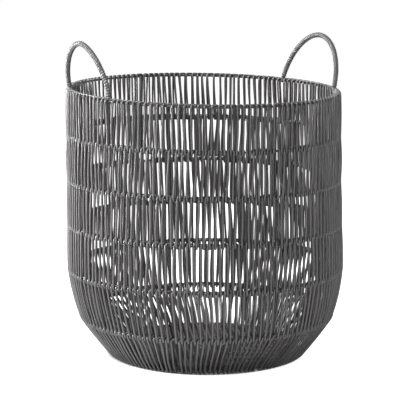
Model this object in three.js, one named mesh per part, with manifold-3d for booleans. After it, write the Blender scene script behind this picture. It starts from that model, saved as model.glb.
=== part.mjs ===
import * as THREE from "three";
import { mergeVertices } from "three/addons/utils/BufferGeometryUtils.js";
import Module from "manifold-3d";

// Round storage basket: a welded wire frame with round plastic cord wound on it row by row.
// Millimetres, +Z up. The origin is on the ground under the middle, the handles lie on the X axis.

// Frame: the hoops' centreline radii and the distances between them, rim first
const rimRadius = 196.4;
const bodyRadius = 198;
const taperRadius = 184.5;
const baseRadius = 144.2;
const topRowHeight = 63.5;
const rowHeight = 66.1;
const upperTaperHeight = 69.5;
const lowerTaperHeight = 53.5;
const hoopWire = 3;
const uprightWire = 4;
const uprightCount = 8;
const uprightOverRim = 1;

// Cord: round, drawn here with three sides that have the cord's width from the front
const cordWidth = 3.46;
const loopsPerBay = 6;
const cordEndFree = 12;
const cordFlat = 0.33;

// Handles: a half ellipse over two short legs that end at the inner side of the rim
const handleWidth = 141;
const handleRise = 69.5;
const handleLeg = 5;
const handleTail = 3;
const handleLean = THREE.MathUtils.degToRad(13.3);
const handleWire = 4.5;
const handleWrap = 7.8;
const handleTurns = 24;

// Floor: a ring inside the lowest loops and wires across it, with cord woven over and under them
const floorRingWire = 3.5;
const floorWire = 3;
const floorWireCount = 25;
const floorCord = 2.6;
const floorDirection = THREE.MathUtils.degToRad(138.5);

// Clearances and facets
const fitGap = 0.3;
const hoopSides = 6;
const wireSides = 6;
const handleSteps = 16;

// The loops are spread evenly, and each bay between two uprights holds the same number. They cross
// under a hoop at whole steps from the X axis and over it at half steps.
const loopCount = uprightCount * loopsPerBay;
const loopTurn = (2 * Math.PI) / loopCount;
const hoopSag = bodyRadius * (1 - Math.cos(loopTurn / 2));
const seatGap = fitGap + hoopSag / 2;

// An upright stands in the free gap between a crossing under a hoop and the next one over it
const uprightPlace = 0.28 * loopTurn;

// A regular section: its points as [away from the loop, along the wall]
function section(radius, sides, turn = 0) {
  return Array.from({ length: sides }, (_, i) => {
    const angle = turn + (2 * Math.PI * i) / sides;
    return [radius * Math.cos(angle), radius * Math.sin(angle)];
  });
}

const cordRadius = cordWidth / (2 * Math.cos(Math.PI / 6));
const cordInside = cordRadius / 2;
const ridgeOut = section(cordRadius, 3);
const flatOut = section(cordRadius, 3, Math.PI);

// The cord's middle runs this far from a hoop's middle, by the side that it turns to the hoop
const ridgeReach = hoopWire / 2 + seatGap + cordInside;
const flatReach = hoopWire / 2 + seatGap + cordRadius;
const baseHeight = flatReach + cordInside - cordFlat;

const hoops = [
  { name: "rim_hoop", radius: rimRadius, drop: 0 },
  { name: "wall_hoop_1", radius: bodyRadius, drop: topRowHeight },
  { name: "wall_hoop_2", radius: bodyRadius, drop: rowHeight },
  { name: "wall_hoop_3", radius: bodyRadius, drop: rowHeight },
  { name: "wall_hoop_4", radius: bodyRadius, drop: rowHeight },
  { name: "wall_hoop_5", radius: taperRadius, drop: upperTaperHeight },
  { name: "base_hoop", radius: baseRadius, drop: lowerTaperHeight },
];
const wallHeight = hoops.reduce((sum, hoop) => sum + hoop.drop, 0);
hoops.reduce((height, hoop) => (hoop.height = height - hoop.drop), baseHeight + wallHeight);

const rimHoop = hoops[0];
const baseHoop = hoops[hoops.length - 1];

function around(radius, angle, height) {
  return new THREE.Vector3(radius * Math.cos(angle), radius * Math.sin(angle), height);
}

// A closed solid from rings of equal length: neighbours are joined and the two ends are capped
function solidFromRings(rings) {
  const sides = rings[0].length;
  const positions = rings.flat().flatMap((point) => point.toArray());
  const faces = [];
  for (let i = 0; i + 1 < rings.length; i++) {
    for (let j = 0; j < sides; j++) {
      const a = i * sides + j;
      const b = i * sides + ((j + 1) % sides);
      faces.push(a, b, b + sides, a, b + sides, a + sides);
    }
  }
  const last = (rings.length - 1) * sides;
  for (let j = 1; j + 1 < sides; j++) {
    faces.push(0, j + 1, j);
    faces.push(last, last + j, last + j + 1);
  }
  const geometry = new THREE.BufferGeometry();
  geometry.setAttribute("position", new THREE.Float32BufferAttribute(positions, 3));
  geometry.setIndex(faces);
  geometry.computeVertexNormals();
  return geometry;
}

// Sweeps a section along straight runs with mitred corners. sideways(i) is the direction that
// the section's second coordinate keeps at point i, and sectionAt(i) is its outline there.
function sweep(path, sideways, sectionAt) {
  const rings = path.map((point, i) => {
    const before = path[Math.max(i - 1, 0)];
    const after = path[Math.min(i + 1, path.length - 1)];
    const into = point.clone().sub(i > 0 ? before : path[0]).normalize();
    const out = after.clone().sub(i + 1 < path.length ? point : before).normalize();
    if (i === 0) into.copy(out);
    const along = into.clone().add(out);
    const stretch = 2 / along.length();
    along.normalize();
    const side = sideways(i).clone();
    side.addScaledVector(along, -side.dot(along)).normalize();
    const away = side.clone().cross(along);
    return sectionAt(i).map(([a, b]) =>
      point.clone().addScaledVector(away, a * stretch).addScaledVector(side, b),
    );
  });
  return solidFromRings(rings);
}

const wasm = await Module();
wasm.setup();

function solidOf(geometry) {
  const bare = new THREE.BufferGeometry();
  bare.setAttribute("position", geometry.getAttribute("position"));
  bare.setIndex(geometry.getIndex());
  const merged = mergeVertices(bare, 1e-4);
  return new wasm.Manifold(
    new wasm.Mesh({
      numProp: 3,
      vertProperties: new Float32Array(merged.getAttribute("position").array),
      triVerts: new Uint32Array(merged.getIndex().array),
    }),
  );
}

function geometryOf(solid) {
  const mesh = solid.getMesh();
  const geometry = new THREE.BufferGeometry();
  geometry.setAttribute("position", new THREE.BufferAttribute(mesh.vertProperties, 3));
  geometry.setIndex(new THREE.BufferAttribute(mesh.triVerts, 1));
  return geometry;
}

function paintedWire() {
  return new THREE.MeshStandardMaterial({ color: 0x232426, roughness: 0.5, metalness: 0.4 });
}

function plasticCord() {
  return new THREE.MeshStandardMaterial({ color: 0x4a4b4d, roughness: 0.42, metalness: 0 });
}

const basket = new THREE.Group();

function add(name, geometry, material) {
  const mesh = new THREE.Mesh(geometry, material);
  mesh.name = name;
  basket.add(mesh);
  return mesh;
}

// Seven hoops. Each is a ring of one straight facet per loop, set so that the facets lie as far
// outside the true circle at their ends as inside it at their middles.
for (const hoop of hoops) {
  const cornerRadius = (2 * hoop.radius) / (1 + Math.cos(loopTurn / 2));
  const ring = new THREE.TorusGeometry(cornerRadius, hoopWire / 2, hoopSides, loopCount);
  add(hoop.name, ring, paintedWire()).position.z = hoop.height;
}

// The wall between two hoops in the plane of radius and height: its direction up and outwards
function wallOf(upper, lower) {
  const up = new THREE.Vector2(upper.radius - lower.radius, upper.height - lower.height).normalize();
  return { up, out: new THREE.Vector2(up.y, -up.x) };
}

// Eight uprights, each one wire bent at the hoops and set against their inner sides
const uprightReach = hoopWire / 2 + seatGap + uprightWire / 2;
const uprightBends = hoops.map((hoop, i) => {
  const above = Math.max(i, 1);
  const below = Math.min(i + 1, hoops.length - 1);
  const outAbove = wallOf(hoops[above - 1], hoops[above]).out;
  const out = wallOf(hoops[below - 1], hoops[below]).out.add(outAbove).normalize();
  const reach = uprightReach / out.dot(outAbove);
  return new THREE.Vector2(hoop.radius, hoop.height).addScaledVector(out, -reach);
});
uprightBends[0].y += uprightOverRim;
for (let k = 0; k < uprightCount; k++) {
  const angle = k * loopsPerBay * loopTurn + uprightPlace;
  const path = uprightBends.map((bend) => around(bend.x, angle, bend.y));
  const sideways = new THREE.Vector3(-Math.sin(angle), Math.cos(angle), 0);
  const wire = section(uprightWire / 2, wireSides);
  add(`upright_${k + 1}`, sweep(path, () => sideways, () => wire), paintedWire());
}

// Where two tangents of the circle round a hoop meet, for the tangents' outward directions
function corner(hoop, reach, first, second) {
  const sum = first.clone().add(second);
  const scale = reach / (1 + first.dot(second));
  return new THREE.Vector2(hoop.radius, hoop.height).addScaledVector(sum, scale);
}

// The corners of one loop of a row: under the lower hoop from inside to outside, then over the
// upper one. The base row runs level under its hoop, because the basket stands on it.
function loopCorners(upper, lower, reach) {
  const { up, out } = wallOf(upper, lower);
  const down = up.clone().negate();
  const inward = out.clone().negate();
  const over = [corner(upper, reach, out, up), corner(upper, reach, up, inward)];
  if (lower !== baseHoop) {
    return { under: [corner(lower, reach, inward, down), corner(lower, reach, down, out)], over };
  }
  const ground = new THREE.Vector2(0, -1);
  const between = inward.clone().add(ground).normalize();
  return {
    under: [
      corner(lower, reach, inward, between),
      corner(lower, reach, between, ground),
      corner(lower, reach, ground, out),
    ],
    over,
  };
}

// One cord wound round two hoops: up outside, over, down inside, under, half a loop at a time
function rowPath(upper, lower, reach) {
  const { under, over } = loopCorners(upper, lower, reach);
  const path = [];
  for (let loop = 0; loop < loopCount; loop++) {
    for (const point of under) path.push(around(point.x, loop * loopTurn, point.y));
    for (const point of over) path.push(around(point.x, (loop + 0.5) * loopTurn, point.y));
  }
  const start = path[0];
  const end = start.clone().sub(path[path.length - 1]);
  end.setLength(end.length() - cordEndFree).add(path[path.length - 1]);
  path.push(end);
  return path;
}

function sidewaysAt(path) {
  return (i) => new THREE.Vector3(-path[i].y, path[i].x, 0).normalize();
}

// The least gap of a cord to itself, from points along it that aren't close neighbours
function leastGap(path) {
  const stepLength = 4;
  const neighbours = 4 * cordWidth;
  const points = [];
  let travelled = 0;
  for (let i = 0; i + 1 < path.length; i++) {
    const length = path[i].distanceTo(path[i + 1]);
    const steps = Math.ceil(length / stepLength);
    for (let s = 0; s < steps; s++) {
      const share = s / steps;
      const at = path[i].clone().lerp(path[i + 1], share);
      points.push({ at, along: travelled + length * share });
    }
    travelled += length;
  }
  let least = Infinity;
  for (let i = 0; i < points.length; i++) {
    for (let j = i + 1; j < points.length; j++) {
      if (points[j].along - points[i].along > neighbours) {
        least = Math.min(least, points[i].at.distanceTo(points[j].at));
      }
    }
  }
  return least - 2 * cordRadius;
}

// The lowest loops are flat where the basket stands on them
function flattenBelowGround(geometry) {
  const position = geometry.getAttribute("position");
  for (let i = 0; i < position.count; i++) {
    position.setZ(i, Math.max(position.getZ(i), 0));
  }
  return geometry;
}

// Six rows, each one unbroken cord on its two hoops. On a hoop that two rows share, the loops of
// the row below pass half way between the loops of the row above.
for (let row = 1; row < hoops.length; row++) {
  const lower = hoops[row];
  const standing = lower === baseHoop;
  const path = rowPath(hoops[row - 1], lower, standing ? flatReach : ridgeReach);
  const outline = standing ? flatOut : ridgeOut;
  const cord = sweep(path, sidewaysAt(path), () => outline);
  const name = `wall_winding_${row}`;
  add(name, standing ? flattenBelowGround(cord) : cord, plasticCord());
  console.log(`${name}: least gap to itself ${leastGap(path).toFixed(2)} mm`);
}

// The floor ring lies in the funnel of the lowest loops, where they turn under their hoop
const taperHoop = hoops[hoops.length - 2];
const funnel = loopCorners(taperHoop, baseHoop, flatReach).under[0];
const funnelRadius = funnel.x - cordInside / wallOf(taperHoop, baseHoop).out.x;
const floorRingRadius = funnelRadius - seatGap - floorRingWire / 2;
const floorRing = new THREE.TorusGeometry(floorRingRadius, floorRingWire / 2, hoopSides, loopCount);
add("floor_ring", floorRing, paintedWire()).position.z = baseHeight;

// Floor wires: parallel and evenly spread, with both ends of each against the inside of the ring
const floorReach = floorRingRadius - floorRingWire / 2 - seatGap;
const floorWireSpacing = (2 * floorReach) / floorWireCount;
const floorWires = Array.from({ length: floorWireCount }, (_, i) => {
  const offset = (i - (floorWireCount - 1) / 2) * floorWireSpacing;
  const half = Math.sqrt(floorReach ** 2 - (Math.abs(offset) + floorWire / 2) ** 2);
  return { offset, half };
});

function floorPrism(wire, radius, half) {
  const along = new THREE.Vector3(Math.cos(floorDirection), Math.sin(floorDirection), 0);
  const across = new THREE.Vector3(-along.y, along.x, 0);
  const middle = across.clone().multiplyScalar(wire.offset).setZ(baseHeight);
  const path = [-half, half].map((distance) => middle.clone().addScaledVector(along, distance));
  const outline = section(radius, wireSides);
  return sweep(path, () => across, () => outline);
}

floorWires.forEach((wire, i) => {
  add(`floor_wire_${i + 1}`, floorPrism(wire, floorWire / 2, wire.half), paintedWire());
});

// The woven floor: one mat inside the ring, with a way through it for each wire
const matThickness = floorWire + 2 * floorCord;
const mat = new THREE.CylinderGeometry(floorReach, floorReach, matThickness, loopCount);
mat.rotateX(Math.PI / 2).translate(0, 0, baseHeight);
const wireWays = floorWires.map((wire) =>
  solidOf(floorPrism(wire, floorWire / 2 + fitGap / Math.cos(Math.PI / wireSides), baseRadius)),
);
const wovenFloor = wireWays.reduce((solid, way) => solid.subtract(way), solidOf(mat));
add("floor_weave", geometryOf(wovenFloor), plasticCord());

// Handles: the wire stands against the inner side of the rim hoop and leans outwards
const footRadius = rimRadius - hoopWire / 2 - seatGap - handleWire / 2;

// Each foot stands between two crossings over the rim, with room for its cord beside theirs
const footRoom = (handleWrap + cordWidth + 4 * fitGap) / (2 * footRadius * loopTurn);
const footStep = Math.asin(handleWidth / (2 * footRadius)) / loopTurn;
const crossing = Math.floor(footStep - 0.5) + 0.5;
const pastCrossing = THREE.MathUtils.clamp(footStep - crossing, footRoom, 1 - footRoom);
const footTurn = (crossing + pastCrossing) * loopTurn;
const footReach = footRadius * Math.cos(footTurn);
const handleHalf = footRadius * Math.sin(footTurn);
const handleUp = new THREE.Vector3(Math.sin(handleLean), 0, Math.cos(handleLean));
const handleFace = new THREE.Vector3(-Math.cos(handleLean), 0, Math.sin(handleLean));

function handlePoint(across, rise) {
  return new THREE.Vector3(footReach, across, rimHoop.height).addScaledVector(handleUp, rise);
}

const bow = new THREE.EllipseCurve(0, handleLeg, handleHalf, handleRise, 0, Math.PI);

function handlePath(footRise, steps) {
  return [
    handlePoint(handleHalf, footRise),
    ...bow.getSpacedPoints(steps).map((point) => handlePoint(point.x, point.y)),
    handlePoint(-handleHalf, footRise),
  ];
}

// The cord round the handle wire lies turn against turn, so it is one ribbed sleeve on the wire
function handleSleeve() {
  const grooveDepth = 0.9;
  const start = hoopWire / 2 + fitGap + (handleWrap / 2) * Math.tan(handleLean);
  const path = handlePath(start, 2 * handleTurns);
  const ribs = (i) => section(handleWrap / 2 - (i % 2 ? 0 : grooveDepth), wireSides);
  const outside = solidOf(sweep(path, () => handleFace, ribs));
  const boreRadius = handleWire / 2 + fitGap / Math.cos(Math.PI / wireSides);
  const bore = sweep(handlePath(-handleTail, handleSteps), () => handleFace, () =>
    section(boreRadius, wireSides),
  );
  return geometryOf(outside.subtract(solidOf(bore)));
}

const handleOutline = section(handleWire / 2, wireSides);
for (const [side, turn] of [["left", Math.PI], ["right", 0]]) {
  const rod = sweep(handlePath(-handleTail, handleSteps), () => handleFace, () => handleOutline);
  add(`handle_rod_${side}`, rod, paintedWire()).rotation.z = turn;
  add(`handle_wrap_${side}`, handleSleeve(), plasticCord()).rotation.z = turn;
}

export default basket;
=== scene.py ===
import math
import random
import bmesh
import bpy
import numpy as np
from mathutils import Matrix, Vector, noise


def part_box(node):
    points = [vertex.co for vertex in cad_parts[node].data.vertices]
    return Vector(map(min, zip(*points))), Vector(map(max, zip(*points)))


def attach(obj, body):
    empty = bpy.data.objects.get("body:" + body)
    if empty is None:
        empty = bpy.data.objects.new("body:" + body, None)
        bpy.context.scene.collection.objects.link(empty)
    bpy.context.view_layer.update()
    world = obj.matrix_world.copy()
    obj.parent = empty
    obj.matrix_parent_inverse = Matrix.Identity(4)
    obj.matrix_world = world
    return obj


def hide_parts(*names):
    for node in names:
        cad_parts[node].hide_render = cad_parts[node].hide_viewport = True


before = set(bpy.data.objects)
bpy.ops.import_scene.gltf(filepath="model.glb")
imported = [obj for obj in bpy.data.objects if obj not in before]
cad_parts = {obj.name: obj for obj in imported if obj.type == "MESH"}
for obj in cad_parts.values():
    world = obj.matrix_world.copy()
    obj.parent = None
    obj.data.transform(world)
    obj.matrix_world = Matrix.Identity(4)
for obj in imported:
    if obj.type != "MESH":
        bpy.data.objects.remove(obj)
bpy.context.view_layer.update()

# ---- Hoops
# Seven rings of round steel wire, butt-welded and dipped in charcoal paint. They carry all the
# cord. A frame welded by hand is never quite true: its rings differ a little, lean and stand aside.
HOOP_NAMES = ["rim_hoop", "wall_hoop_1", "wall_hoop_2", "wall_hoop_3", "wall_hoop_4",
              "wall_hoop_5", "base_hoop"]
HOOP_WIRE = 0.0030
WIRE_SIDES = 12
RING_STEPS = 272
MERGE_REACH = 1e-6

# How each hoop is off true, rim first: wider, aside to the right, higher far off, higher at right.
# Right and far are those of someone who looks at the basket with a handle at each side.
FAR_SIDE = math.radians(61.5)
WIDER = [0.0, -0.0012, -0.0008, 0.0004, 0.0016, 0.0, 0.0]
ASIDE = [-0.0026, -0.0024, -0.0019, -0.0009, 0.0, 0.0014, 0.0020]
FAR_RISE = [0.0021, 0.0008, -0.0012, -0.0018, -0.0008, 0.0001, 0.0]
RIGHT_RISE = [-0.0036, -0.0024, -0.0014, -0.0006, 0.0, 0.0, 0.0]


def hoop_place(name):
    # Radius and height of a hoop's centre line, read from the part
    low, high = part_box(name)
    return (high.x - low.x - HOOP_WIRE) / 2, (high.z + low.z) / 2


HOOPS = [hoop_place(name) for name in HOOP_NAMES]
BASE = len(HOOPS) - 1


def stand_askew(mesh):
    # Everything follows the frame, which is a little off true
    levels = [hoop[1] for hoop in HOOPS][::-1]
    radius = HOOPS[0][0]
    points = np.empty(len(mesh.vertices) * 3)
    mesh.vertices.foreach_get("co", points)
    points = points.reshape(-1, 3)
    wider, aside, far_rise, right_rise = (np.interp(points[:, 2], levels, values[::-1]) / radius
                                          for values in (WIDER, ASIDE, FAR_RISE, RIGHT_RISE))
    far = np.array((math.cos(FAR_SIDE), math.sin(FAR_SIDE)))
    right = np.array((far[1], -far[0]))
    flat = points[:, :2]
    points[:, 2] += far_rise * (flat @ far) + right_rise * (flat @ right)
    points[:, :2] = flat * (1 + wider)[:, None] + np.outer(aside * radius, right)
    mesh.vertices.foreach_set("co", points.ravel())
    mesh.update()


def new_piece(name, mesh, material):
    # A piece stands at the origin, with its place in its mesh
    mesh.name = name
    stand_askew(mesh)
    mesh.shade_smooth()
    mesh.materials.append(material)
    piece = bpy.data.objects.new(name, mesh)
    bpy.context.scene.collection.objects.link(piece)
    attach(piece, "root")
    return piece


def add_node(tree, kind, sockets=None, **settings):
    # A shader node with values on its settings and on its inputs
    node = tree.nodes.new(kind)
    for setting, value in settings.items():
        setattr(node, setting, value)
    for socket, value in (sockets or {}).items():
        node.inputs[socket].default_value = value
    return node


def surface_marks():
    # Uneven tone, roughness and relief that paint and plastic share, each at its own size
    group = bpy.data.node_groups.new("surface_marks", "ShaderNodeTree")
    new_socket = group.interface.new_socket
    new_socket("Place", in_out="INPUT", socket_type="NodeSocketVector")
    for name in ("Mark Size", "Grain Size", "Dark", "Light", "Smooth", "Rough"):
        new_socket(name, in_out="INPUT", socket_type="NodeSocketFloat")
    for name in ("Tone", "Roughness", "Height"):
        new_socket(name, in_out="OUTPUT", socket_type="NodeSocketFloat")
    given = add_node(group, "NodeGroupInput")
    result = add_node(group, "NodeGroupOutput")
    link = group.links.new
    for size, detail, least, most, effect in (("Mark Size", 3, "Dark", "Light", "Tone"),
                                              ("Grain Size", 2, "Smooth", "Rough", "Roughness")):
        pattern = add_node(group, "ShaderNodeTexNoise", {"Detail": detail})
        spread = add_node(group, "ShaderNodeMapRange", {"From Min": 0.3, "From Max": 0.7})
        link(given.outputs["Place"], pattern.inputs["Vector"])
        link(given.outputs[size], pattern.inputs["Scale"])
        link(pattern.outputs["Fac"], spread.inputs["Value"])
        link(given.outputs[least], spread.inputs["To Min"])
        link(given.outputs[most], spread.inputs["To Max"])
        link(spread.outputs["Result"], result.inputs[effect])
    # The grain is the relief as well
    link(pattern.outputs["Fac"], result.inputs["Height"])
    return group


MARKS = surface_marks()


def marked_material(name, colour, place, marks, relief, shine=0.5):
    # A coloured skin whose tone, gloss and relief come from the shared marks
    material = bpy.data.materials.new(name)
    material.use_nodes = True
    tree = material.node_tree
    skin = tree.nodes["Principled BSDF"]
    skin.inputs["Specular IOR Level"].default_value = shine
    used = add_node(tree, "ShaderNodeGroup", node_tree=MARKS)
    for socket, value in marks.items():
        used.inputs[socket].default_value = value
    tree.links.new(place(tree), used.inputs["Place"])
    shade = add_node(tree, "ShaderNodeVectorMath", {0: colour}, operation="SCALE")
    bump = add_node(tree, "ShaderNodeBump", {"Distance": relief})
    tree.links.new(used.outputs["Tone"], shade.inputs["Scale"])
    tree.links.new(shade.outputs["Vector"], skin.inputs["Base Color"])
    tree.links.new(used.outputs["Roughness"], skin.inputs["Roughness"])
    tree.links.new(used.outputs["Height"], bump.inputs["Height"])
    tree.links.new(bump.outputs["Normal"], skin.inputs["Normal"])
    return material


def place_on_object(tree):
    return add_node(tree, "ShaderNodeTexCoord").outputs["Object"]


painted_wire = marked_material(
    "painted_wire", (0.030, 0.030, 0.032), place_on_object,
    {"Mark Size": 60, "Grain Size": 900, "Dark": 0.75, "Light": 1.3, "Smooth": 0.34, "Rough": 0.5},
    0.0001)


def wire_ring(radius, height, wire):
    # A round wire section, spun about the upright axis
    bm = bmesh.new()
    upright = Matrix.Rotation(math.radians(90), 4, "X")
    section = bmesh.ops.create_circle(bm, segments=WIRE_SIDES, radius=wire / 2,
                                      matrix=Matrix.Translation((radius, 0, height)) @ upright)
    edges = list({edge for vert in section["verts"] for edge in vert.link_edges})
    bmesh.ops.spin(bm, geom=section["verts"] + edges, cent=(0, 0, 0), axis=(0, 0, 1),
                   angle=math.tau, steps=RING_STEPS, use_merge=True)
    bmesh.ops.remove_doubles(bm, verts=bm.verts, dist=MERGE_REACH)
    bmesh.ops.recalc_face_normals(bm, faces=bm.faces)
    return bm


def finished_mesh(bm):
    mesh = bpy.data.meshes.new("mesh")
    bm.to_mesh(mesh)
    bm.free()
    return mesh


for node, (radius, height) in zip(HOOP_NAMES, HOOPS):
    ring = wire_ring(radius, height, HOOP_WIRE)
    piece = new_piece(f"{node}_wire", finished_mesh(ring), painted_wire)
    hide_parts(node)

# ---- Uprights
# Eight stakes of thicker wire, spot-welded to the inner side of every hoop. Each is one wire from
# the rim to the base, bent at the hoops, and painted with the rest of the frame.
UPRIGHT_WIRE = 0.0040
UPRIGHT_COUNT = 8
UPRIGHT_TURN = math.radians(2.25)
UPRIGHT_OVER_RIM = 0.001
WELD_GAP = 0.0004
BEND_RUN = 0.007


def wall_between(upper, lower):
    # The wall's own directions in the plane of radius and height: up it, and out of it
    rise = Vector((HOOPS[upper][0] - HOOPS[lower][0], HOOPS[upper][1] - HOOPS[lower][1]))
    up = rise.normalized()
    return up, Vector((up.y, -up.x))


def upright_bends(reach):
    # Where an upright bends, at the given distance inside the middle of each hoop's wire
    bends = []
    for index, hoop in enumerate(HOOPS):
        above = wall_between(max(index, 1) - 1, max(index, 1))[1]
        below = wall_between(min(index, BASE - 1), min(index, BASE - 1) + 1)[1]
        out = (above + below).normalized()
        bends.append(Vector(hoop) - out * (reach / out.dot(above)))
    bends[0].y += UPRIGHT_OVER_RIM
    return bends


def wire_along(name, line, width, sides):
    # Round wire or cord along a line of points, as a closed mesh
    curve = bpy.data.curves.new(name, "CURVE")
    curve.dimensions = "3D"
    curve.bevel_depth = width / 2
    curve.bevel_resolution = (sides - 4) // 2
    curve.use_fill_caps = True
    spline = curve.splines.new("POLY")
    spline.points.add(len(line) - 1)
    places = np.ones((len(line), 4))
    places[:, :3] = line
    spline.points.foreach_set("co", places.ravel())
    drawn = bpy.data.objects.new(name, curve)
    bpy.context.scene.collection.objects.link(drawn)
    seen = bpy.context.evaluated_depsgraph_get()
    mesh = bpy.data.meshes.new_from_object(drawn.evaluated_get(seen))
    bpy.data.objects.remove(drawn)
    bpy.data.curves.remove(curve)
    bm = bmesh.new()
    bm.from_mesh(mesh)
    bmesh.ops.remove_doubles(bm, verts=bm.verts, dist=MERGE_REACH)
    bm.to_mesh(mesh)
    bm.free()
    return mesh


def soft_corners(points, run, steps=4):
    # Rounds each corner of a line over the given run before and after it
    line = [points[0]]
    for before, corner, after in zip(points, points[1:], points[2:]):
        first = corner + (before - corner).normalized() * run
        second = corner + (after - corner).normalized() * run
        for step in range(steps + 1):
            share = step / steps
            line.append(first * (1 - share) ** 2 + corner * 2 * share * (1 - share)
                        + second * share ** 2)
    return line + [points[-1]]


bends = soft_corners(upright_bends((HOOP_WIRE + UPRIGHT_WIRE) / 2 + WELD_GAP), BEND_RUN)
for number in range(UPRIGHT_COUNT):
    node = f"upright_{number + 1}"
    angle = UPRIGHT_TURN + math.tau * number / UPRIGHT_COUNT
    line = [(bend.x * math.cos(angle), bend.x * math.sin(angle), bend.y) for bend in bends]
    piece = new_piece(f"{node}_wire", wire_along(node, line, UPRIGHT_WIRE, WIRE_SIDES),
                      painted_wire)
    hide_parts(node)

# ---- Wall cord
# Six rows of round extruded plastic cord, wound by hand. Each row is one unbroken cord: up
# outside, over the upper hoop and along it for nearly one loop, down inside and under the lower
# hoop. It spreads a little where an upright or a handle stands inside.
CORD = 0.0033
CORD_SIDES = 8
CORD_SLACK = 0.00003
LOOPS_PER_BAY = 17
LOOPS = UPRIGHT_COUNT * LOOPS_PER_BAY
HANDLE_FEET = [math.radians(turn) for turn in (23.1, -19.3, 157.0, 199.8)]

# In loops: the room beside an upright and beside a handle's foot, and how far from it it is felt
ROOM_AT_UPRIGHT = 0.24
CALM_LOOPS = 3
ROOM_AT_HANDLE = 0.30
FOOT_SPREAD = 1.6

# By row, in loops: where the cord goes down inside, how far it has run along the upper hoop, and
# how far it slants to the side on its way up outside and down inside
ROW_PLACE = [0.45, 0.83, 0.23, 0.62, 0.17, 0.75]
STEP_OVER = [0.95, 0.82, 0.88, 0.90, 1.0, 0.96]
OUTSIDE_SLANT = [0.0, 0.22, 0.20, 0.08, -0.15, 0.75]
INSIDE_SLANT = [0.25, 0.22, 0.20, 0.08, -0.15, 1.08]

# How far a strand bows away from the wall, and where its points are from one hoop to the other
OUTSIDE_BOW = [0.0007, 0.0015, 0.0008, 0.0008, 0.0022, 0.0010]
OUTSIDE_BOW_LEAST = 0.4
INSIDE_BOW = 0.0010
INSIDE_BOW_LEAST = 0.25
OUTSIDE_LEVELS = [0.05, 0.13, 0.27, 0.42, 0.58, 0.73, 0.87, 0.95]
INSIDE_LEVELS = [0.94, 0.8, 0.6, 0.4, 0.2, 0.06]

# The share of its run along a hoop that the cord makes evenly, while it makes the rest on top of
# the hoop, and how long it stays on top
CROSSING_STEPS = 12
EVEN_ON_WALL_HOOP = 0.4
EVEN_ON_END_HOOP = 0.05
STAY_ON_TOP = 0.46

# How much the loops wander together and how much each sways, in loops, and how quickly the
# wandering changes round a hoop and from one hoop to the next
UNEVEN = 0.3
SWAY = 0.07
WANDERS_AROUND = 9
NEXT_HOOP = 7.3

chance = random.Random(41)
loop_turn = math.tau / LOOPS


def along_hoop(loops):
    # Angle of a place given in loops from the first upright, with room left at each upright
    bay = math.floor(loops / LOOPS_PER_BAY)
    inside = loops - bay * LOOPS_PER_BAY
    even = ROOM_AT_UPRIGHT + inside * (1 - 2 * ROOM_AT_UPRIGHT / LOOPS_PER_BAY)
    return UPRIGHT_TURN + (bay * LOOPS_PER_BAY + even) * loop_turn


def unevenness(hoop, angle):
    # The loops on a hoop wander together, so that neighbours never meet
    around = Vector((math.cos(angle) * WANDERS_AROUND, math.sin(angle) * WANDERS_AROUND,
                     hoop * NEXT_HOOP))
    return UNEVEN * loop_turn * noise.noise(around)


def beside_feet(angle):
    # How far a loop on the rim stands aside for the nearest handle foot
    aside = 0
    for foot in HANDLE_FEET:
        away = (angle - foot + math.pi) % math.tau - math.pi
        aside += math.copysign(math.exp(-abs(away) / (FOOT_SPREAD * loop_turn)), away)
    return aside * ROOM_AT_HANDLE * loop_turn


def smooth(share):
    share = min(max(share, 0.0), 1.0)
    return share * share * (3 - 2 * share)


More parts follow.
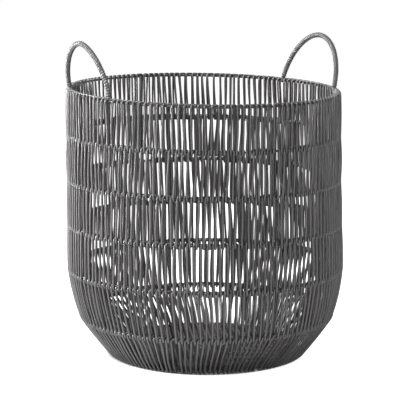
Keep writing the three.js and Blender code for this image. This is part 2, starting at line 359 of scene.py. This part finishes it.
def wound_row(row):
    upper, lower = row, row + 1
    up, out = wall_between(upper, lower)
    reach = (HOOP_WIRE + CORD) / 2 + CORD_SLACK
    line = []

    def put(angle, spot):
        # The basket stands on the cord, so none of it is lower than half its width
        line.append((spot.x * math.cos(angle), spot.x * math.sin(angle), max(spot.y, CORD / 2)))

    def strand(angle_below, angle_above, levels, side, bow, sway):
        # A nearly straight run between the hoops, outside (1) or inside (-1) of them
        low = Vector(HOOPS[lower]) + out * reach * side
        high = Vector(HOOPS[upper]) + out * reach * side
        for level in levels:
            arch = math.sin(math.pi * level)
            angle = angle_below + (angle_above - angle_below) * smooth(level) + sway * arch
            put(angle, low.lerp(high, level) + out * (side * bow * arch))

    def crossing(hoop, start, end, half_turn):
        # Half a turn round a hoop. It lies flat along the rim and the base, and less on the others
        even = EVEN_ON_WALL_HOOP if 0 < hoop < BASE else EVEN_ON_END_HOOP
        for step in range(CROSSING_STEPS + 1):
            share = step / CROSSING_STEPS
            angle = start + (end - start) * (even * share + (1 - even) * smooth(share))
            turn = math.pi * (half_turn + share) + STAY_ON_TOP * math.sin(math.tau * share)
            put(angle, Vector(HOOPS[hoop]) + (out * math.cos(turn) + up * math.sin(turn)) * reach)

    for loop in range(LOOPS):
        inside_place = loop + ROW_PLACE[row]
        outside_place = inside_place - STEP_OVER[row]
        above = along_hoop(outside_place)
        below = above - OUTSIDE_SLANT[row] * loop_turn
        below_next = along_hoop(outside_place + 1) - OUTSIDE_SLANT[row] * loop_turn
        inside = along_hoop(inside_place)
        # Inside, a loop near an upright runs straight down beside it, but not in the base row
        near_upright = min(inside_place % LOOPS_PER_BAY, -inside_place % LOOPS_PER_BAY)
        calm = smooth(near_upright / CALM_LOOPS)
        outside_top = above + unevenness(upper, above)
        outside_bottom = below + unevenness(lower, below)
        next_bottom = below_next + unevenness(lower, below_next)
        inside_top = inside + unevenness(upper, inside) * calm
        inside_bottom = (inside - INSIDE_SLANT[row] * loop_turn * (calm if lower < BASE else 1)
                         + unevenness(lower, inside) * calm)
        if upper == 0:
            outside_top += beside_feet(outside_top)
            inside_top += beside_feet(inside_top)
        strand(outside_bottom, outside_top, OUTSIDE_LEVELS, 1,
               OUTSIDE_BOW[row] * chance.uniform(OUTSIDE_BOW_LEAST, 1),
               chance.gauss(0, SWAY) * loop_turn)
        crossing(upper, outside_top, inside_top, 0)
        strand(inside_bottom, inside_top, INSIDE_LEVELS, -1,
               INSIDE_BOW * chance.uniform(INSIDE_BOW_LEAST, 1),
               chance.gauss(0, SWAY) * loop_turn * calm)
        crossing(lower, inside_bottom, next_bottom, 1)
    return line


def place_on_cord(tree):
    # Along and round the cord, so that marks follow it
    mapped = add_node(tree, "ShaderNodeMapping", {"Scale": (2 * LOOPS, 1.0, 1.0)})
    unwrapped = add_node(tree, "ShaderNodeUVMap", uv_map="UVMap")
    tree.links.new(unwrapped.outputs["UV"], mapped.inputs["Vector"])
    return mapped.outputs["Vector"]


plastic_cord = marked_material(
    "plastic_cord", (0.050, 0.0465, 0.048), place_on_cord,
    {"Mark Size": 1.0, "Grain Size": 6, "Dark": 0.6, "Light": 1.45, "Smooth": 0.24, "Rough": 0.36},
    0.0002, shine=0.9)

for row in range(BASE):
    node = f"wall_winding_{row + 1}"
    mesh = wire_along(node, wound_row(row), CORD, CORD_SIDES)
    piece = new_piece(f"wall_cord_{row + 1}", mesh, plastic_cord)
    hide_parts(node)

# ---- Floor frame
# A ring of wire that lies inside the lowest loops, with straight wires welded across it. They
# stiffen the floor and are what its cord is woven on.
RING_WIRE = 0.0035
FLOOR_WIRE = 0.0030
FLOOR_WIRE_SIDES = 10
FLOOR_WIRES = 25
FLOOR_TURN = math.radians(138.5)

low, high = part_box("floor_ring")
ring_radius = (high.x - low.x - RING_WIRE) / 2
floor_height = (high.z + low.z) / 2
ring = wire_ring(ring_radius, floor_height, RING_WIRE)
piece = new_piece("floor_ring_wire", finished_mesh(ring), painted_wire)
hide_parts("floor_ring")

floor_reach = ring_radius - RING_WIRE / 2 - WELD_GAP
wire_space = 2 * floor_reach / FLOOR_WIRES
along = Vector((math.cos(FLOOR_TURN), math.sin(FLOOR_TURN), 0))
across = Vector((-along.y, along.x, 0))
middle = Vector((0, 0, floor_height))
for number in range(FLOOR_WIRES):
    node = f"floor_wire_{number + 1}"
    offset = (number - (FLOOR_WIRES - 1) / 2) * wire_space
    half = math.sqrt(floor_reach ** 2 - (abs(offset) + FLOOR_WIRE / 2) ** 2)
    line = [middle + across * offset + along * distance for distance in (-half, half)]
    piece = new_piece(f"{node}_rod", wire_along(node, line, FLOOR_WIRE, FLOOR_WIRE_SIDES),
                      painted_wire)
    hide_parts(node)

# ---- Woven floor
# One plastic cord woven to and fro over and under the floor wires, each pass the other way round
# from the last, with a narrow gap between the passes.
FLOOR_CORD = 0.0026
PASS_SPACE = 0.0035
PASS_STEPS = 4
FLAT_TOPS = 1.25
PASS_WOBBLE = 0.0003
WOBBLES_ALONG = 60
NEXT_PASS = 1.7

# Painted light and shade: its raised parts are painted lighter from this height to that one, in
# widths of the cord, and the sunk ones, painted dark as shade, keep only this share of the tone
PAINTED_LIGHT_FROM = 1
PAINTED_LIGHT_FULL = 1.35
PAINTED_SHADE_TONE = 0.04


def woven_floor():
    lift = (FLOOR_WIRE + FLOOR_CORD) / 2
    room = floor_reach - FLOOR_CORD / 2
    count = int(2 * room / PASS_SPACE)
    line = []
    for number in range(count):
        offset = (number - (count - 1) / 2) * PASS_SPACE
        half = math.sqrt(max(room ** 2 - (abs(offset) + PASS_SPACE / 2) ** 2, 0.0))
        if half < PASS_SPACE:
            continue
        way = 1 if number % 2 == 0 else -1
        steps = max(int(2 * half / (wire_space / PASS_STEPS)), 2)
        for step in range(steps + 1):
            distance = way * (-half + 2 * half * step / steps)
            wave = math.cos(math.pi * distance / wire_space + math.pi * number)
            height = lift * math.copysign(min(abs(wave) * FLAT_TOPS, 1), wave)
            place = Vector((distance * WOBBLES_ALONG, number * NEXT_PASS, 0))
            wobble = PASS_WOBBLE * noise.noise(place)
            line.append(middle + across * distance + along * (-offset + wobble)
                        + Vector((0, 0, height)))
    return line


# Its colour is painted lighter than the wall cord's, as painted light for a floor that the walls
# shade
floor_cord = marked_material(
    "floor_cord", (0.210, 0.194, 0.200), place_on_object,
    {"Mark Size": 90, "Grain Size": 700, "Dark": 0.6, "Light": 1.4, "Smooth": 0.25, "Rough": 0.45},
    0.0002, shine=0.4)
# Painted light and shade: the tone is scaled by height, dark in the lows and light on the tops
tree = floor_cord.node_tree
colour = tree.nodes["Principled BSDF"].inputs["Base Color"]
spot = add_node(tree, "ShaderNodeSeparateXYZ")
painted_light_and_shade = add_node(tree, "ShaderNodeMapRange", {
    "From Min": middle.z + FLOOR_CORD * PAINTED_LIGHT_FROM,
    "From Max": middle.z + FLOOR_CORD * PAINTED_LIGHT_FULL,
    "To Min": PAINTED_SHADE_TONE})
painted_shading = add_node(tree, "ShaderNodeVectorMath", operation="SCALE")
tree.links.new(place_on_object(tree), spot.inputs["Vector"])
tree.links.new(spot.outputs["Z"], painted_light_and_shade.inputs["Value"])
tree.links.new(colour.links[0].from_socket, painted_shading.inputs[0])
tree.links.new(painted_light_and_shade.outputs["Result"], painted_shading.inputs["Scale"])
tree.links.new(painted_shading.outputs["Vector"], colour)

mesh = wire_along("floor_weave_cord", woven_floor(), FLOOR_CORD, CORD_SIDES)
piece = new_piece("floor_weave_cord", mesh, floor_cord)
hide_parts("floor_weave")

# ---- Handles
# Two loops of thick wire whose ends are welded to the inner side of the rim. Each is wound with
# cord from foot to foot, turn against turn, so that it is round and warm to the hand.
HANDLE_WIRE = 0.0043
HANDLE_TAIL = 0.003
ARCH_STEPS = 48
CORNER_RUN = 0.0005
WRAP_WIDTH = 0.0080
WRAP_CORD = (0.0037, 0.0030)
WRAP_PITCH = 0.0036
WRAP_SIDES = 10
WRAP_STEPS = 14
WRAP_FOOT = 0.0050

# How loosely a turn lies, as a share of its width, and how quickly that changes from turn to turn
LOOSE = 0.06
LOOSE_CHANGE = 0.9
LOOSE_PLACE = 3.1

# By side: turn round the basket, half width, height, leg, bend and lean of the loop
HANDLES = {
    "right": (math.radians(1.8), 0.0697, 0.0785, 0.0, 1.96, math.radians(16.1)),
    "left": (math.radians(178.5), 0.0712, 0.0746, 0.0119, 1.79, math.radians(10.0)),
}
rim_radius, rim_height = HOOPS[0]
foot_radius = rim_radius - HOOP_WIRE / 2 - WELD_GAP / 2


def heading(turn, lift):
    # The direction at a turn round the upright axis and a lift above the level
    return Vector((math.cos(turn) * math.cos(lift), math.sin(turn) * math.cos(lift),
                   math.sin(lift)))


def handle_line(side, foot_rise):
    # From foot to foot: a leg, half of a round arch that is near an ellipse, and a leg
    turn, half, height, leg, bend, lean = HANDLES[side]
    reach = math.sqrt(foot_radius ** 2 - half ** 2)
    flat = [(half, foot_rise)]
    for step in range(ARCH_STEPS + 1):
        angle = math.pi * step / ARCH_STEPS
        spread = math.copysign(abs(math.cos(angle)) ** (2 / bend), math.cos(angle))
        rise = leg + (height - leg) * math.sin(angle) ** (2 / bend)
        if rise >= foot_rise:
            flat.append((half * spread, rise))
    flat.append((-half, foot_rise))
    turned = Matrix.Rotation(turn, 4, "Z")
    return [turned @ Vector((reach + rise * math.sin(lean), spread,
                             rim_height + rise * math.cos(lean))) for spread, rise in flat]


def wound_handle(side):
    # A straight coil of flattened cord, spun and then laid along the bent wire
    line = handle_line(side, WRAP_FOOT)
    lengths = [0.0]
    for before, after in zip(line, line[1:]):
        lengths.append(lengths[-1] + (after - before).length)
    turns = int(lengths[-1] / WRAP_PITCH)
    pitch = lengths[-1] / turns
    bm = bmesh.new()
    reach = WRAP_WIDTH / 2 - WRAP_CORD[1] / 2
    shape = (Matrix.Translation((reach, 0, 0)) @ Matrix.Rotation(math.radians(90), 4, "X")
             @ Matrix.Diagonal((WRAP_CORD[1] / 2, WRAP_CORD[0] / 2, 1, 1)))
    section = bmesh.ops.create_circle(bm, segments=WRAP_SIDES, radius=1, cap_ends=True,
                                      matrix=shape)
    bmesh.ops.spin(bm, geom=list(bm.faces) + list(bm.edges) + section["verts"],
                   cent=(0, 0, 0), axis=(0, 0, 1), dvec=(0, 0, pitch / WRAP_STEPS),
                   angle=math.tau * turns, steps=WRAP_STEPS * turns)
    bmesh.ops.recalc_face_normals(bm, faces=bm.faces)
    turn, *_, lean = HANDLES[side]
    out = heading(turn, -lean)
    for vert in bm.verts:
        x, y, z = vert.co
        z = min(max(z, 0.0), lengths[-1])
        index = min(int(np.searchsorted(lengths, z, side="right")) - 1, len(line) - 2)
        share = (z - lengths[index]) / (lengths[index + 1] - lengths[index])
        ahead = (line[index + 1] - line[index]).normalized()
        before = (line[index] - line[index - 1]).normalized() if index else ahead
        after = ((line[index + 2] - line[index + 1]).normalized()
                 if index + 2 < len(line) else ahead)
        ahead = (before + ahead).lerp(ahead + after, share).normalized()
        across = ahead.cross(out).normalized()
        loose = 1 + LOOSE * noise.noise(Vector((z / pitch * LOOSE_CHANGE, LOOSE_PLACE, 0)))
        vert.co = line[index].lerp(line[index + 1], share) + (out * x + across * y) * loose
    return bm


wrap_cord = marked_material(
    "wrap_cord", (0.060, 0.059, 0.058), place_on_object,
    {"Mark Size": 300, "Grain Size": 900, "Dark": 0.5, "Light": 1.6, "Smooth": 0.2, "Rough": 0.36},
    0.0003, shine=1.0)
for side in HANDLES:
    line = soft_corners(handle_line(side, -HANDLE_TAIL), CORNER_RUN, 2)
    piece = new_piece(f"handle_wire_{side}", wire_along("handle", line, HANDLE_WIRE, WIRE_SIDES),
                      painted_wire)
    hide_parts(f"handle_rod_{side}")
    piece = new_piece(f"handle_cord_{side}", finished_mesh(wound_handle(side)), wrap_cord)
    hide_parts(f"handle_wrap_{side}")

# ---- Studio
# A white floor that runs out of sight, strip lamps at the left and in front, a small lamp above,
# and the camera of the photograph, a little above the rim.
FILL_LIGHT = 0.155
FLOOR_SIZE = 8
FLOOR_DROP = 0.0002
PAPER_GLOW = 0.85
PAPER_IN_GLOSS = 0.1
SHADE_UP_TO = 0.0025
SHADE_GONE_AT = 0.0050
TARGET = Vector((0, 0, 0.22))
CAMERA_DISTANCE = 2.603
CAMERA_HEIGHT = 0.6705
CAMERA_LENS = 160.6
CAMERA_SENSOR = 36
CAMERA_PITCH = math.radians(9.674)
CAMERA_YAW = FAR_SIDE + math.radians(0.171)


def shown_white(tree, straight, reflected):
    # How white the camera sees the surroundings, and how white gloss and clear things do
    path = add_node(tree, "ShaderNodeLightPath")
    mirrored = add_node(tree, "ShaderNodeMath", operation="MAXIMUM")
    tree.links.new(path.outputs["Is Glossy Ray"], mirrored.inputs[0])
    tree.links.new(path.outputs["Is Transmission Ray"], mirrored.inputs[1])
    both = add_node(tree, "ShaderNodeMath", operation="MAXIMUM")
    for place, (ray, strength) in enumerate(((path.outputs["Is Camera Ray"], straight),
                                             (mirrored.outputs[0], reflected))):
        part = add_node(tree, "ShaderNodeMath", operation="MULTIPLY")
        tree.links.new(ray, part.inputs[0])
        if isinstance(strength, float):
            part.inputs[1].default_value = strength
        else:
            tree.links.new(strength, part.inputs[1])
        tree.links.new(part.outputs[0], both.inputs[place])
    return both.outputs[0]


world = bpy.data.worlds.new("studio")
bpy.context.scene.world = world
world.use_nodes = True
tree = world.node_tree
tree.nodes.clear()
fill = add_node(tree, "ShaderNodeBackground", {"Color": (1, 1, 1, 1), "Strength": FILL_LIGHT})
white = add_node(tree, "ShaderNodeBackground", {"Color": (1, 1, 1, 1), "Strength": 1.0})
choice = add_node(tree, "ShaderNodeMixShader")
result = add_node(tree, "ShaderNodeOutputWorld")
# The white backdrop stands behind the basket, and the room on the camera's side is dimmer
facing = add_node(tree, "ShaderNodeVectorMath", {1: heading(FAR_SIDE, 0)},
                  operation="DOT_PRODUCT")
room = add_node(tree, "ShaderNodeMapRange", {"From Min": -0.4, "From Max": 0.2, "To Min": 0.1})
tree.links.new(add_node(tree, "ShaderNodeTexCoord").outputs["Generated"], facing.inputs[0])
tree.links.new(facing.outputs["Value"], room.inputs["Value"])
tree.links.new(shown_white(tree, 1.0, room.outputs["Result"]), choice.inputs["Fac"])
tree.links.new(fill.outputs[0], choice.inputs[1])
tree.links.new(white.outputs[0], choice.inputs[2])
tree.links.new(choice.outputs[0], result.inputs["Surface"])

bm = bmesh.new()
bmesh.ops.create_grid(bm, x_segments=1, y_segments=1, size=FLOOR_SIZE)
floor = bpy.data.objects.new("studio_floor", finished_mesh(bm))
bpy.context.scene.collection.objects.link(floor)
floor.location.z = -FLOOR_DROP
paper = bpy.data.materials.new("paper")
paper.use_nodes = True
tree = paper.node_tree
skin = tree.nodes["Principled BSDF"]
skin.inputs["Base Color"].default_value = (0.8, 0.8, 0.8, 1)
skin.inputs["Roughness"].default_value = 0.9
skin.inputs["Specular IOR Level"].default_value = 0.1
skin.inputs["Emission Color"].default_value = (1, 1, 1, 1)
# It shines white to the camera, but not where the basket stands on it and keeps the light away:
# there the glow is masked out as a painted shadow
distance = add_node(tree, "ShaderNodeVectorMath", operation="LENGTH")
outside_painted_shadow = add_node(tree, "ShaderNodeMapRange", {"From Min": HOOPS[BASE][0] + SHADE_UP_TO,
                                                  "From Max": HOOPS[BASE][0] + SHADE_GONE_AT})
glow = add_node(tree, "ShaderNodeMath", operation="MULTIPLY")
tree.links.new(place_on_object(tree), distance.inputs[0])
tree.links.new(distance.outputs["Value"], outside_painted_shadow.inputs["Value"])
tree.links.new(shown_white(tree, PAPER_GLOW, PAPER_IN_GLOSS), glow.inputs[0])
tree.links.new(outside_painted_shadow.outputs["Result"], glow.inputs[1])
tree.links.new(glow.outputs[0], skin.inputs["Emission Strength"])
floor.data.materials.append(paper)


def stand_at(thing, place, ahead):
    # Puts a lamp or the camera in its place and points it
    bpy.context.scene.collection.objects.link(thing)
    thing.location = place
    thing.rotation_mode = "QUATERNION"
    thing.rotation_quaternion = ahead.to_track_quat("-Z", "Y")


def soft_lamp(name, azimuth, elevation, distance, width, height, power):
    # Directions are counted from the camera: 0 in front of the basket, minus to its left
    data = bpy.data.lights.new(name, "AREA")
    data.shape = "RECTANGLE"
    data.size = width
    data.size_y = height
    data.energy = power
    back = heading(math.radians(azimuth) + FAR_SIDE - math.pi, math.radians(elevation))
    stand_at(bpy.data.objects.new(name, data), TARGET + back * distance, -back)


soft_lamp("key_light", -92, 12, 2.4, 0.4, 1.6, 125)
soft_lamp("top_light", -50, 62, 2.2, 0.45, 0.45, 50)
soft_lamp("front_light", 16, 12, 2.6, 0.16, 1.4, 26)

data = bpy.data.cameras.new("camera")
data.lens = CAMERA_LENS
data.sensor_width = CAMERA_SENSOR
camera = bpy.data.objects.new("camera", data)
place = Vector((-CAMERA_DISTANCE * math.cos(FAR_SIDE), -CAMERA_DISTANCE * math.sin(FAR_SIDE),
                CAMERA_HEIGHT))
stand_at(camera, place, heading(CAMERA_YAW, -CAMERA_PITCH))
bpy.context.scene.camera = camera
bpy.context.scene.view_settings.view_transform = "Standard"
